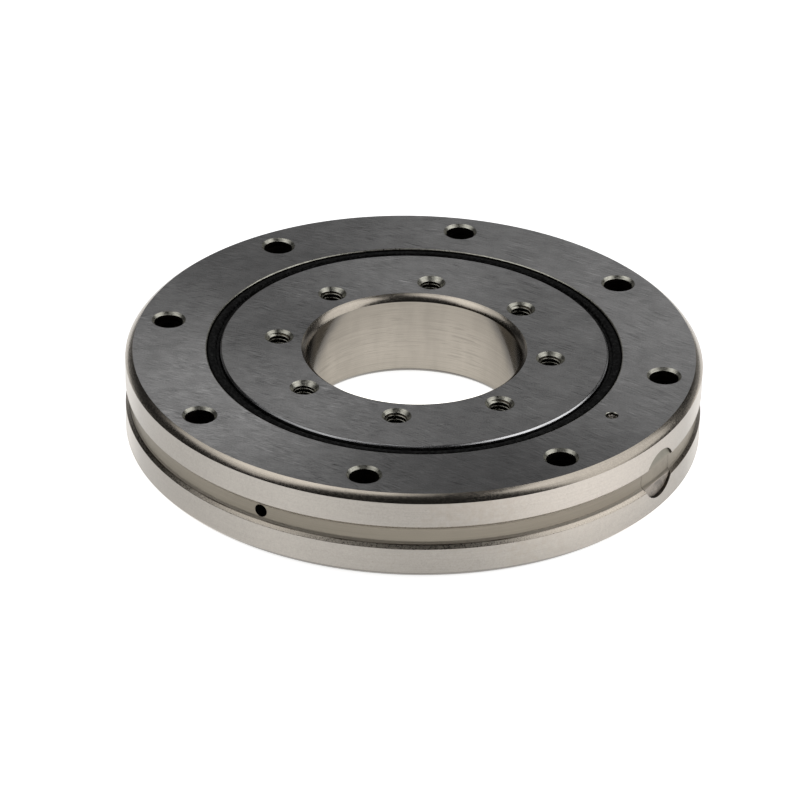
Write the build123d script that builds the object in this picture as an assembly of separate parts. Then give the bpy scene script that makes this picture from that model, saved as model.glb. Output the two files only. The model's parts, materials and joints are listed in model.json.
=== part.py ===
from build123d import *
import os
from math import cos, floor, pi, radians, sin, sqrt

# Crossed roller bearing with one-piece inner and outer rings and mounting holes in both.
# Millimetres. The origin is the centre of the underside, +Z is the axis of rotation.
# Angles are in degrees, counted from +X towards +Y.

# Ring section
bore_diameter = 35.0
inner_section = 15.5  # bore wall to the rollers' pitch circle
outer_section = 14.5  # rollers' pitch circle to the outside wall
ring_width = 15.0
ring_gap = 1.0  # radial gap between the two rings beside the raceways
outer_corner = 1.2  # leg of the crowned corners on the outside wall
bore_corner = 1.1  # leg of the crowned corners on the bore
corner_crown = 0.1  # how far a corner bulges past a straight chamfer

# Rollers and raceways
roller_diameter = 5.0
roller_end_play = 0.1  # the rollers are this much shorter than their diameter
roller_chamfer = 0.3
raceway_clearance = 0.05  # between a roller and the raceway flank that it rolls on
relief_width = 0.8  # undercut along the bottom of each V raceway
relief_depth = 0.1  # how far the undercut goes past the point where the flanks would meet
spacer_web = 0.7  # least room between two rollers for the thin middle of a spacer
spacer_thickness = 2.3  # of a spacer at its rim, along the pitch circle
spacer_saddle_clearance = 0.06
spacer_flank_clearance = 0.2

# Seals and the steps they sit in
seal_seat_step = 0.65  # radial step in the outer ring that holds a seal's heel
seal_seat_depth = 2.7
lip_land_step = 0.53  # radial step in the inner ring that a seal's lip runs on
lip_land_depth = 2.9
outer_seal_edge = 0.15  # chamfer at the mouth of the seal gap, outer ring
inner_seal_edge = 0.25  # chamfer at the mouth of the seal gap, inner ring
seal_fit = 0.02
seal_recess = 0.25  # a seal's raised band lies this far below the rings' faces
seal_band_width = 1.45
seal_band_step = 0.35  # how far the lip lies below the raised band
seal_lip_thickness = 0.4
seal_lip_clearance = 0.08
seal_heel_width = 1.3

# Mounting holes
outer_hole_count = 8
outer_hole_edge_distance = 6.0  # outside wall to the bolt circle
outer_hole_diameter = 4.8  # coarse clearance for an M4 screw
outer_hole_chamfer = 0.45
outer_hole_angle = -10.45
counterbore_diameter = 8.0
counterbore_depth = 4.4
inner_hole_count = 8
inner_hole_edge_distance = 5.0  # bore wall to the circle of tapped holes
inner_hole_diameter = 3.3  # drilled for an M4 thread
inner_hole_countersink = 0.75
inner_ring_turned = 3.65  # how far the inner ring stands turned from the outer ring's holes

# Grease groove and grease holes in the outside wall
groove_floor_width = 2.3
groove_depth = 0.9  # its flanks lie at 45 degrees
grease_hole_diameter = 2.2
grease_hole_angle = -120.6
grease_hole_count = 2

# Plug that closes the hole the rollers went in through, and the taper pin that locks it
plug_diameter = 8.5
plug_recess = 0.55  # its outer end lies this far inside the outside wall
plug_fit = 0.02
pin_diameter = 2.0  # at its large end
pin_length = 12.5
pin_taper = 1 / 50
pin_wall = 0.32  # between the raceway's undercut and the pin
pin_recess = 0.3
pin_fit = 0.01
pin_end_chamfer = 0.2
pin_hole_chamfer = 0.1
pin_hole_spare = 0.3  # the pin's hole is this much deeper than the pin

# Sizes worked out from those above
bore_radius = bore_diameter / 2
pitch_radius = bore_radius + inner_section
outer_radius = pitch_radius + outer_section
mid_height = ring_width / 2
outer_land_radius = pitch_radius + ring_gap / 2
inner_land_radius = pitch_radius - ring_gap / 2
seal_seat_radius = outer_land_radius + seal_seat_step
lip_land_radius = inner_land_radius - lip_land_step
roller_radius = roller_diameter / 2
roller_length = roller_diameter - roller_end_play
flank_distance = roller_radius + raceway_clearance
flank_reach = flank_distance * sqrt(2)  # pitch circle to the point where the flanks would meet
mouth_half_height = flank_reach - ring_gap / 2
relief_half_width = relief_width / 2
relief_reach = flank_reach + relief_depth
flank_end_reach = flank_reach - relief_half_width
groove_radius = outer_radius - groove_depth
groove_floor_half = groove_floor_width / 2
groove_mouth_half = groove_floor_half + groove_depth
outer_hole_circle = outer_radius - outer_hole_edge_distance
inner_hole_circle = bore_radius + inner_hole_edge_distance
inner_hole_angle = outer_hole_angle + inner_ring_turned
plug_angle = outer_hole_angle - 180 / outer_hole_count
pin_circle = pitch_radius + relief_reach + pin_wall + pin_diameter / 2
pin_x = pin_circle * cos(radians(plug_angle))
pin_y = pin_circle * sin(radians(plug_angle))
roller_count = 2 * floor(2 * pi * pitch_radius / (roller_diameter + spacer_web) / 2)
roller_step = 360 / roller_count
spacer_side = 2 * (flank_distance - spacer_flank_clearance)


def line_through(points):
    """Straight lines from each point of the section to the next, as (radius, height)."""
    return [Line((*a, 0), (*b, 0)) for a, b in zip(points, points[1:])]


def crowned_corner(start, end, inside):
    """The arc of a crowned corner; inside is a point on the metal's side of it."""
    middle = (Vector(*start) + Vector(*end)) / 2
    outwards = (middle - Vector(*inside)).normalized()
    return ThreePointArc(Vector(*start), middle + outwards * corner_crown, Vector(*end))


def turned(edges):
    """The solid of revolution about +Z of a closed section drawn as radius and height."""
    section = make_face([Plane.XZ * edge for edge in edges])
    return revolve(section, Axis.Z, 360)


def radial_plane(angle, radius=0.0):
    """A plane at mid height that faces away from the axis."""
    outwards = (cos(radians(angle)), sin(radians(angle)), 0)
    origin = (radius * outwards[0], radius * outwards[1], mid_height)
    return Plane(origin=origin, x_dir=(-outwards[1], outwards[0], 0), z_dir=outwards)


def radial_rod(angle, diameter, end_radius):
    """A rod from the axis out to end_radius, at mid height."""
    return extrude(radial_plane(angle) * Circle(diameter / 2), end_radius)


def around(tool, count, radius, first_angle):
    """Copies of a tool on a circle about the axis."""
    places = PolarLocations(radius, count, start_angle=first_angle)
    return [place * tool for place in places]


def outer_ring_blank():
    """The outer ring as turned: raceway, seal seats, crowned corners and grease groove."""
    top, mid = ring_width, mid_height
    seat_floor_top = top - seal_seat_depth
    lower_corner = crowned_corner(
        (outer_radius - outer_corner, 0),
        (outer_radius, outer_corner),
        (outer_radius - outer_corner, outer_corner),
    )
    outside = line_through([
        (outer_radius, outer_corner),
        (outer_radius, mid - groove_mouth_half),
        (groove_radius, mid - groove_floor_half),
        (groove_radius, mid + groove_floor_half),
        (outer_radius, mid + groove_mouth_half),
        (outer_radius, top - outer_corner),
    ])
    upper_corner = crowned_corner(
        (outer_radius, top - outer_corner),
        (outer_radius - outer_corner, top),
        (outer_radius - outer_corner, top - outer_corner),
    )
    inside = line_through([
        (outer_radius - outer_corner, top),
        (seal_seat_radius + outer_seal_edge, top),
        (seal_seat_radius, top - outer_seal_edge),
        (seal_seat_radius, seat_floor_top),
        (outer_land_radius, seat_floor_top),
        (outer_land_radius, mid + mouth_half_height),
        (pitch_radius + flank_end_reach, mid + relief_half_width),
        (pitch_radius + relief_reach, mid + relief_half_width),
        (pitch_radius + relief_reach, mid - relief_half_width),
        (pitch_radius + flank_end_reach, mid - relief_half_width),
        (outer_land_radius, mid - mouth_half_height),
        (outer_land_radius, seal_seat_depth),
        (seal_seat_radius, seal_seat_depth),
        (seal_seat_radius, outer_seal_edge),
        (seal_seat_radius + outer_seal_edge, 0),
        (outer_radius - outer_corner, 0),
    ])
    return turned([lower_corner, *outside, upper_corner, *inside])


def through_hole_tool():
    """Cuts a bolt hole: chamfered on the upper face, counterbored for a cap screw below."""
    hole, bore = outer_hole_diameter / 2, counterbore_diameter / 2
    return turned(line_through([
        (0, 0),
        (bore, 0),
        (bore, counterbore_depth),
        (hole, counterbore_depth),
        (hole, ring_width - outer_hole_chamfer),
        (hole + outer_hole_chamfer, ring_width),
        (0, ring_width),
        (0, 0),
    ]))


def tapped_hole_tool():
    """Cuts a tapped hole at its core diameter, countersunk on both faces."""
    core = inner_hole_diameter / 2
    return turned(line_through([
        (0, 0),
        (core + inner_hole_countersink, 0),
        (core, inner_hole_countersink),
        (core, ring_width - inner_hole_countersink),
        (core + inner_hole_countersink, ring_width),
        (0, ring_width),
        (0, 0),
    ]))


def taper_body(start_depth, end_depth, allowance=0.0):
    """The pin's tapered form between two depths below the upper face."""
    def radius_at(depth):
        return (pin_diameter - (depth - pin_recess) * pin_taper) / 2 + allowance

    height = end_depth - start_depth
    cone = Cone(radius_at(end_depth), radius_at(start_depth), height)
    return Pos(pin_x, pin_y, ring_width - start_depth - height / 2) * cone


def pin_hole_tool():
    """Cuts the taper pin's hole from the upper face down through the plug, chamfered at its mouth."""
    hole = taper_body(0, pin_recess + pin_length + pin_hole_spare, pin_fit)
    mouth = hole.edges().filter_by(GeomType.CIRCLE).sort_by(Axis.Z)[-1].radius
    lead = Cone(mouth, mouth + pin_hole_chamfer, pin_hole_chamfer)
    return hole + Pos(pin_x, pin_y, ring_width - pin_hole_chamfer / 2) * lead


def outer_ring():
    """The outer ring with its bolt holes, grease holes, insertion hole and pin hole."""
    ring = outer_ring_blank()
    ring -= around(through_hole_tool(), outer_hole_count, outer_hole_circle, outer_hole_angle)
    for k in range(grease_hole_count):
        angle = grease_hole_angle + k * 360 / grease_hole_count
        ring -= radial_rod(angle, grease_hole_diameter, outer_radius)
    ring -= radial_rod(plug_angle, plug_diameter, outer_radius)
    ring -= pin_hole_tool()
    return ring


def insertion_plug():
    """The plug, machined in place: the raceway runs across its inner end, the grease groove across its outer."""
    rod = radial_rod(plug_angle, plug_diameter - 2 * plug_fit, outer_radius - plug_recess)
    plug = outer_ring_blank() & rod
    plug -= pin_hole_tool()
    return plug


def taper_pin():
    """The pin that locks the plug, set a little below the upper face."""
    pin = taper_body(pin_recess, pin_recess + pin_length)
    large_end = pin.edges().filter_by(GeomType.CIRCLE).sort_by(Axis.Z)[-1]
    return chamfer(large_end, pin_end_chamfer)


def inner_ring():
    """The inner ring: raceway and lip lands outside, crowned corners on the bore, tapped holes."""
    top, mid = ring_width, mid_height
    outside = line_through([
        (bore_radius + bore_corner, 0),
        (lip_land_radius - inner_seal_edge, 0),
        (lip_land_radius, inner_seal_edge),
        (lip_land_radius, lip_land_depth),
        (inner_land_radius, lip_land_depth),
        (inner_land_radius, mid - mouth_half_height),
        (pitch_radius - flank_end_reach, mid - relief_half_width),
        (pitch_radius - relief_reach, mid - relief_half_width),
        (pitch_radius - relief_reach, mid + relief_half_width),
        (pitch_radius - flank_end_reach, mid + relief_half_width),
        (inner_land_radius, mid + mouth_half_height),
        (inner_land_radius, top - lip_land_depth),
        (lip_land_radius, top - lip_land_depth),
        (lip_land_radius, top - inner_seal_edge),
        (lip_land_radius - inner_seal_edge, top),
        (bore_radius + bore_corner, top),
    ])
    upper_corner = crowned_corner(
        (bore_radius + bore_corner, top),
        (bore_radius, top - bore_corner),
        (bore_radius + bore_corner, top - bore_corner),
    )
    wall = line_through([(bore_radius, top - bore_corner), (bore_radius, bore_corner)])
    lower_corner = crowned_corner(
        (bore_radius, bore_corner),
        (bore_radius + bore_corner, 0),
        (bore_radius + bore_corner, bore_corner),
    )
    ring = turned([*outside, upper_corner, *wall, lower_corner])
    ring -= around(tapped_hole_tool(), inner_hole_count, inner_hole_circle, inner_hole_angle)
    return ring


def upper_seal():
    """A rubber seal: its heel sits in the outer ring, its lip runs just clear of the inner ring."""
    face = ring_width
    heel_radius = seal_seat_radius - seal_fit
    tip_radius = lip_land_radius + seal_lip_clearance
    band_top = face - seal_recess
    lip_top = band_top - seal_band_step
    lip_bottom = lip_top - seal_lip_thickness
    seat_floor = face - seal_seat_depth
    return turned(line_through([
        (heel_radius, seat_floor),
        (heel_radius, band_top),
        (heel_radius - seal_band_width, band_top),
        (heel_radius - seal_band_width, lip_top),
        (tip_radius, lip_top),
        (tip_radius, lip_bottom),
        (heel_radius - seal_heel_width, seat_floor),
        (heel_radius, seat_floor),
    ]))


def lower_seal():
    """The same seal turned over, in the lower face."""
    return mirror(upper_seal(), Plane.XY.offset(mid_height))


def roller_plane(index):
    """A plane at a roller's centre that faces along its axis. Every other roller leans the other way."""
    angle = index * roller_step
    lean = 45 if index % 2 == 0 else -45
    centre = radial_plane(angle, pitch_radius)
    flat, rise = cos(radians(lean)), sin(radians(lean))
    axis = centre.z_dir * flat + Vector(0, 0, 1) * rise
    return Plane(origin=centre.origin, x_dir=centre.x_dir, z_dir=axis)


def roller(index):
    """One roller of the ring of crossed rollers."""
    barrel = Cylinder(roller_radius, roller_length)
    barrel = chamfer(barrel.edges().filter_by(GeomType.CIRCLE), roller_chamfer)
    return roller_plane(index) * barrel


def spacer(index):
    """The spacer between a roller and the next: a square pad with a saddle for each of them."""
    angle = (index + 0.5) * roller_step
    centre = radial_plane(angle, pitch_radius)
    pad_plane = Plane(origin=centre.origin, x_dir=centre.z_dir, z_dir=centre.x_dir)
    pad = pad_plane * Rot(0, 0, 45) * Box(spacer_side, spacer_side, spacer_thickness)
    saddle = Cylinder(roller_radius + spacer_saddle_clearance, 2 * spacer_side)
    pad -= roller_plane(index) * saddle
    pad -= roller_plane(index + 1) * saddle
    return pad


def write(name, shape):
    """One STEP file for each node."""
    export_step(shape, os.path.join("parts", name + ".step"))


os.makedirs("parts", exist_ok=True)
write("outer_ring", outer_ring())
write("inner_ring", inner_ring())
write("insertion_plug", insertion_plug())
write("taper_pin", taper_pin())
write("upper_seal", upper_seal())
write("lower_seal", lower_seal())
write("spacers", Compound(children=[spacer(k) for k in range(roller_count)]))
for k in range(roller_count):
    write(f"roller_{k + 1:02d}", roller(k))
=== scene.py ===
import json
import math

import bmesh
import bpy
from mathutils import Matrix, Vector


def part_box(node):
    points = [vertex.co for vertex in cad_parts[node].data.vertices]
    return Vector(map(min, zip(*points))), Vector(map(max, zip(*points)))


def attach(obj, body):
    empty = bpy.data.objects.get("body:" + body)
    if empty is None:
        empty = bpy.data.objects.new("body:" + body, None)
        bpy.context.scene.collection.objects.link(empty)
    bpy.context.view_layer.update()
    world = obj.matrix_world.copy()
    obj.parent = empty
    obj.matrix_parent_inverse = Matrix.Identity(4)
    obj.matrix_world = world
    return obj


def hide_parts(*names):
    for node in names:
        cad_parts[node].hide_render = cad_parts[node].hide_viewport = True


bl_info = {
    "name": "Crossed roller bearing",
    "version": (1, 0, 0),
    "blender": (4, 5, 0),
    "location": "3D View > Sidebar > Bearing",
    "description": "Models and finishes a flat crossed roller bearing around its packed frame",
    "category": "Object",
}

MM = 0.001
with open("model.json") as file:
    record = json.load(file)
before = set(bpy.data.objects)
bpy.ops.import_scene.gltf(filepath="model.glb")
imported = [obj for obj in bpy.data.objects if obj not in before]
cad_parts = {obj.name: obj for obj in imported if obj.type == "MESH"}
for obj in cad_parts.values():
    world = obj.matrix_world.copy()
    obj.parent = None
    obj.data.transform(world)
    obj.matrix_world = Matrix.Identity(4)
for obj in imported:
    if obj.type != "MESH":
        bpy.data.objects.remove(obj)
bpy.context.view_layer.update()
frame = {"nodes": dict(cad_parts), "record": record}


def mount(name):
    """One of the record's mounts."""
    return next(m for m in frame["record"]["mounts"] if m["name"] == name)


def radii(node):
    """The least and the greatest distance of a node's metal from the axis."""
    reaches = [math.hypot(v.co.x, v.co.y) for v in frame["nodes"][node].data.vertices]
    return min(reaches), max(reaches)


def bearing_of(point):
    """The angle of a point about the axis."""
    return math.atan2(point[1], point[0])


# Sizes that the frame gives, in metres, and angles in radians
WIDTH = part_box("outer_ring")[1].z
MID = WIDTH / 2
BORE = mount("bore")["dims"]["r_mm"] * MM
OUTSIDE = mount("outer_spigot")["dims"]["r_mm"] * MM
OUTER_LAND = radii("outer_ring")[0]
INNER_LAND = radii("inner_ring")[1]
PITCH = (OUTER_LAND + INNER_LAND) / 2
SEAL_TIP, SEAL_HEEL = radii("upper_seal")
SEAL_FLOOR, SEAL_TOP = (corner.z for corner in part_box("upper_seal"))
OUTER_HOLES = mount("outer_bolts")["dims"]
INNER_HOLES = mount("inner_bolts")["dims"]
OUTER_CIRCLE = OUTER_HOLES["pcd_mm"] * MM / 2
INNER_CIRCLE = INNER_HOLES["pcd_mm"] * MM / 2
CORE = INNER_HOLES["hole_r_mm"] * MM
HALF_SPACE = math.pi / OUTER_HOLES["count"]
OUTER_HOLE_ANGLE = bearing_of(mount("outer_ring_face")["pos_m"]) - HALF_SPACE
INNER_HOLE_ANGLE = bearing_of(mount("inner_ring_face")["pos_m"]) - HALF_SPACE
PIN_LOW, PIN_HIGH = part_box("taper_pin")
PIN_CENTRE = (PIN_LOW + PIN_HIGH) / 2
PIN_RADIUS = (PIN_HIGH.x - PIN_LOW.x) / 2
PLUG_ANGLE = bearing_of(PIN_CENTRE)
PLUG_WAY = Vector((math.cos(PLUG_ANGLE), math.sin(PLUG_ANGLE), 0))
PLUG_END = max(v.co.dot(PLUG_WAY) for v in frame["nodes"]["insertion_plug"].data.vertices)
PLUG_RADIUS = (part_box("insertion_plug")[1].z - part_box("insertion_plug")[0].z) / 2

# How far a tool reaches past a face, how near a face counts as at a place, and the room round the pin
PAST = 0.2 * MM
SLACK = 0.02 * MM
PIN_ROOM = 0.01 * MM


def a_number(name, description, default):
    """A plain number that the panel shows."""
    return bpy.props.FloatProperty(name=name, description=description, default=default, precision=3)


def a_count(name, description, default):
    """A whole number that the panel shows."""
    return bpy.props.IntProperty(name=name, description=description, default=default, min=1)


def a_length(name, description, millimetres):
    """A length that the panel shows."""
    return bpy.props.FloatProperty(
        name=name, description=description, default=millimetres * MM, unit="LENGTH", precision=6)


def an_angle(name, description, degrees):
    """An angle that the panel shows."""
    return bpy.props.FloatProperty(
        name=name, description=description, default=math.radians(degrees), unit="ROTATION")


def a_colour(name, description, default):
    """A colour that the panel shows."""
    return bpy.props.FloatVectorProperty(
        name=name, description=description, default=default, subtype="COLOR", size=3, min=0, max=1)


class RingSizes(bpy.types.PropertyGroup):
    """Sizes of the rings, the plug and the pin that the frame's mounts don't give."""

    outer_corner: a_length("Outer corner", "Leg of the crowned corners on the outside wall", 1.2)
    bore_corner: a_length("Bore corner", "Leg of the crowned corners on the bore", 1.1)
    crown: a_length("Crown", "How far a corner bulges past a straight chamfer", 0.1)
    edge_break: a_length("Edge break", "Width that the deburring takes off a sharp edge", 0.06)
    groove_floor: a_length("Groove floor", "Width of the grease groove's floor", 2.3)
    groove_depth: a_length(
        "Groove depth", "Depth of the grease groove, whose flanks lie at 45 degrees", 0.9)
    groove_fillet: a_length(
        "Groove fillet", "Round that the turning tool leaves along the groove's floor", 0.16)
    seat_fit: a_length("Seal seat", "Room between a seal's heel and its seat", 0.02)
    seat_depth: a_length("Seal seat depth", "Depth of the step under a face of the outer ring", 2.7)
    lip_clearance: a_length("Lip land", "Room between a seal's lip and the land that it runs on", 0.08)
    lip_depth: a_length("Lip land depth", "Depth of the step under a face of the inner ring", 2.9)
    outer_seal_edge: a_length(
        "Outer seal edge", "Chamfer of the outer ring at the mouth of the seal gap", 0.15)
    inner_seal_edge: a_length(
        "Inner seal edge", "Chamfer of the inner ring at the mouth of the seal gap", 0.25)
    flank_reach: a_length(
        "Raceway reach", "Pitch circle to the point where the raceway's flanks meet", 3.606)
    relief_half: a_length("Raceway undercut", "Half the width of the undercut in each raceway", 0.4)
    hole_chamfer: a_length("Hole chamfer", "Chamfer of the plain bolt holes", 0.45)
    counterbore: a_length(
        "Counterbore", "Radius of the seats for the screws' heads on the underside", 4.0)
    counterbore_depth: a_length("Counterbore depth", "Depth of the seats for the screws' heads", 4.4)
    countersink: a_length("Countersink", "How far a tapped hole is countersunk past its core", 0.75)
    grease_hole: a_length("Grease hole", "Radius of the grease holes in the groove", 1.1)
    grease_angle: an_angle("Grease hole angle", "Where the grease hole of the near side stands", -120.6)
    plug_hole: a_length("Insertion hole", "Radius of the hole that the rollers go in through", 4.25)
    pin_hole_chamfer: a_length("Pin hole chamfer", "Chamfer at the mouth of the pin's hole", 0.1)
    pin_taper: a_number("Pin taper", "Change of the pin's diameter along its length", 0.02)
    steps: a_count("Steps", "Facets round a ring", 384)
    drill_steps: a_count("Hole steps", "Facets round a drilled hole", 64)


class ThreadSizes(bpy.types.PropertyGroup):
    """The thread in the inner ring's holes."""

    pitch: a_length("Pitch", "From one thread to the next", 0.7)
    major: a_length("Major radius", "Axis of the hole to the bottom of the thread", 2.0)
    start: a_length(
        "Start", "A groove's middle passes this far below the lower face, on the hole's +X side", 0.566)
    advance: an_angle("Advance", "How far each hole's thread is turned on from the last one's", -120)
    flank: an_angle("Flank angle", "Slope of a thread's flank from square to the axis", 30)
    steps: a_count("Steps", "Facets in one turn of the thread", 40)


class SealSizes(bpy.types.PropertyGroup):
    """The section of the rubber seals."""

    band: a_length("Band", "Width of the raised outer band", 1.45)
    band_step: a_length("Band step", "How far the lip lies below the raised band", 0.35)
    lip: a_length("Lip", "Thickness of the lip", 0.4)
    heel: a_length("Heel", "Width of the foot that sits on the outer ring's step", 1.3)
    edge_round: a_length("Edge round", "Rounding of the moulded edges", 0.3)


class FinishColours(bpy.types.PropertyGroup):
    """Colours of the bearing's finishes."""

    face_steel: a_colour("Ground face", "Steel of the ground faces", (0.335, 0.331, 0.330))
    wall_steel: a_colour("Ground wall", "Steel of the ground walls", (0.345, 0.322, 0.292))
    groove_steel: a_colour("Groove", "Turned steel of the grease groove", (0.230, 0.207, 0.169))
    groove_dull: a_colour("Groove foot", "Dull band along the groove's foot", (0.29, 0.257, 0.208))
    corner_steel: a_colour("Corners", "Steel of the crowned corners", (0.37, 0.333, 0.285))
    drilled_steel: a_colour("Drilled holes", "Steel inside the holes", (0.12, 0.11, 0.10))
    rubber: a_colour("Rubber", "Black rubber of the seals", (0.0015, 0.0015, 0.0015))
    thread_steel: a_colour("Threads", "Cut steel of the threads and chamfers", (0.345, 0.338, 0.295))
    plug_steel: a_colour("Plug", "Plug's end above the groove", (0.168, 0.160, 0.130))
    plug_rough: a_colour("Plug, rough", "Plug's end below the groove", (0.235, 0.205, 0.172))
    plastic: a_colour("Spacer plastic", "Natural plastic of the spacers", (0.72, 0.66, 0.52))
    roller_steel: a_colour("Rollers", "Lapped steel of the rollers", (0.60, 0.60, 0.61))
    # The stain colour also serves as painted shade on the groove, the corners and the threads.
    stain: a_colour("Stain", "Brown tint of oil and heat on the steel", (0.11, 0.085, 0.055))


class PaintedSheen(bpy.types.PropertyGroup):
    """Painted sheen: fans of light and shade painted into a face's or a wall's colour round the axis, in
    two sets, with a painted brightness on the whole.
    """

    level: a_number("Level", "Brightness on the whole", 1.0)
    wide: a_number("Wide fans", "Strength of the wide fans", 0.0)
    wide_count: a_count("Wide fans, count", "Wide fans in a turn", 2)
    wide_at: an_angle("Wide fans at", "Where one of the wide fans is brightest", 0)
    narrow: a_number("Narrow fans", "Strength of the narrow fans", 0.0)
    narrow_count: a_count("Narrow fans, count", "Narrow fans in a turn", 3)
    narrow_at: an_angle("Narrow fans at", "Where one of the narrow fans is brightest", 0)


class StageSettings(bpy.types.PropertyGroup):
    """Camera, floor and lights."""

    lens: a_number("Lens", "Focal length on a 36 mm sensor", 210.73)
    distance: a_length("Distance", "Camera to the middle of the upper face, along the view", 770.1)
    elevation: an_angle("Elevation", "How far the camera looks down", 30.139)
    roll: an_angle("Roll", "Tilt of the camera about its view", 1.286)
    aim_right: a_length("Aim right", "The bearing's axis lies this far right of the view's middle", 2.360)
    aim_up: a_length("Aim up", "The upper face's middle lies this far above the view's middle", 8.646)
    floor_colour: a_colour("Table", "White top that the bearing lies on", (0.82, 0.82, 0.82))
    floor_light: a_number("Table light", "Light that comes through the table's top", 1.5)
    surround: a_number("Surround", "Brightness of the room around the lights", 0.015)


class BearingSettings(bpy.types.PropertyGroup):
    """Everything that a user would change."""

    ring: bpy.props.PointerProperty(type=RingSizes)
    thread: bpy.props.PointerProperty(type=ThreadSizes)
    seal: bpy.props.PointerProperty(type=SealSizes)
    colours: bpy.props.PointerProperty(type=FinishColours)
    # Painted sheen: light and shade painted into the faces' and the wall's colour
    outer_sheen: bpy.props.PointerProperty(type=PaintedSheen)
    inner_sheen: bpy.props.PointerProperty(type=PaintedSheen)
    wall_sheen: bpy.props.PointerProperty(type=PaintedSheen)
    stage: bpy.props.PointerProperty(type=StageSettings)


# Modelling


def crown_arc(start, end, bulge, steps=8):
    """Sharp points of a shallow arc between two corners, bulging to the right-hand side of the outline."""
    start, end = Vector(start), Vector(end)
    half = (end - start).length / 2
    radius = (half * half + bulge * bulge) / (2 * bulge)
    middle = (start + end) / 2
    chord = (end - start).normalized()
    outwards = Vector((chord.y, -chord.x))
    centre = middle - outwards * (radius - bulge)
    sweep = math.asin(half / radius)
    turns = [sweep * (2 * k / steps - 1) for k in range(steps + 1)]
    arc = [centre + outwards * radius * math.cos(t) + chord * radius * math.sin(t) for t in turns]
    return [(point.x, point.y, 0) for point in arc]


def both_halves(upper):
    """An outline from its upper half, mirrored at mid height. A point is radius, height, edge break."""
    return upper + [(r, WIDTH - z, ease) for r, z, ease in reversed(upper)]


def outline(points):
    """A closed outline at y = 0 with its corners eased."""
    bm = bmesh.new()
    verts = [bm.verts.new((r, 0, z)) for r, z, _ in points]
    bm.faces.new(verts)
    eases = {}
    for vert, (_, _, ease) in zip(verts, points):
        eases.setdefault(ease, []).append(vert)
    for ease, corners in eases.items():
        if ease:
            bmesh.ops.bevel(
                bm, geom=corners, offset=ease, offset_type="OFFSET", affect="VERTICES",
                segments=3 if ease > 0.1 * MM else 2, profile=0.5, material=-1, clamp_overlap=True)
    bmesh.ops.delete(bm, geom=bm.faces[:], context="FACES_ONLY")
    return bm


def turn(bm, steps):
    """Spins an outline once about the axis into a closed solid."""
    bmesh.ops.spin(
        bm, geom=bm.verts[:] + bm.edges[:], cent=(0, 0, 0), axis=(0, 0, 1), dvec=(0, 0, 0),
        angle=2 * math.pi, steps=steps, use_merge=True, use_duplicate=False)
    bmesh.ops.remove_doubles(bm, verts=bm.verts[:], dist=0.0001 * MM)
    bmesh.ops.recalc_face_normals(bm, faces=bm.faces[:])
    return bm


def turned_tool(points, steps):
    """A closed solid of revolution from a chain of points that starts and ends on the axis."""
    bm = bmesh.new()
    verts = [bm.verts.new((r, 0, z)) for r, z in points]
    for first, second in zip(verts, verts[1:]):
        bm.edges.new((first, second))
    return turn(bm, steps)


def moved(bm, matrix):
    """The same mesh, moved."""
    bmesh.ops.transform(bm, matrix=matrix, verts=bm.verts[:])
    return bm


def joined(parts):
    """One mesh from several, which it uses up."""
    whole = bmesh.new()
    for bm in parts:
        mesh = bpy.data.meshes.new("part")
        bm.to_mesh(mesh)
        bm.free()
        whole.from_mesh(mesh)
        bpy.data.meshes.remove(mesh)
    return whole


def on_circle(count, radius, first_angle):
    """Places on a circle about the axis."""
    for k in range(count):
        angle = first_angle + 2 * math.pi * k / count
        yield Matrix.Translation((radius * math.cos(angle), radius * math.sin(angle), 0))


def radial(angle):
    """Turns a tool that stands on the origin so that it points away from the axis, at mid height."""
    lift = Matrix.Translation((0, 0, MID))
    return lift @ Matrix.Rotation(angle, 4, "Z") @ Matrix.Rotation(math.pi / 2, 4, "Y")


def new_object(name, bm):
    """An object at the origin from a mesh that it uses up."""
    mesh = bpy.data.meshes.new(name)
    bm.to_mesh(mesh)
    bm.free()
    piece = bpy.data.objects.new(name, mesh)
    bpy.context.scene.collection.objects.link(piece)
    return piece


def carve(piece, tool_bm, operation="DIFFERENCE"):
    """Cuts a tool out of a piece, or keeps what lies inside the tool."""
    tool = new_object("tool", tool_bm)
    modifier = piece.modifiers.new("carve", "BOOLEAN")
    modifier.operation = operation
    modifier.solver = "MANIFOLD"
    modifier.object = tool
    graph = bpy.context.evaluated_depsgraph_get()
    carved = bpy.data.meshes.new_from_object(piece.evaluated_get(graph))
    piece.modifiers.remove(modifier)
    spent = (piece.data, tool.data)
    piece.data = carved
    bpy.data.objects.remove(tool)
    for mesh in spent:
        bpy.data.meshes.remove(mesh)
    carved.name = piece.name
    if not carved.polygons:
        raise RuntimeError(f"carving left nothing of {piece.name}")


def smooth(piece, sharp_from=math.radians(9)):
    """Smooth shading, with the piece's real edges kept sharp."""
    mesh = piece.data
    mesh.polygons.foreach_set("use_smooth", [True] * len(mesh.polygons))
    mesh.set_sharp_from_angle(angle=sharp_from)


def finish_by_region(piece, materials, region):
    """Gives each face the material that region names for its centre and normal."""
    mesh = piece.data
    mesh.materials.clear()
    names = list(materials)
    for material in materials.values():
        mesh.materials.append(material)
    mesh.polygons.foreach_set(
        "material_index", [names.index(region(p.center, p.normal)) for p in mesh.polygons])


def stands_for(piece, node, body):
    """The piece replaces a node of the frame: it moves with the node's body, and the node is hidden."""
    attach(piece, body)
    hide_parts(node)


# Finishes


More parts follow.
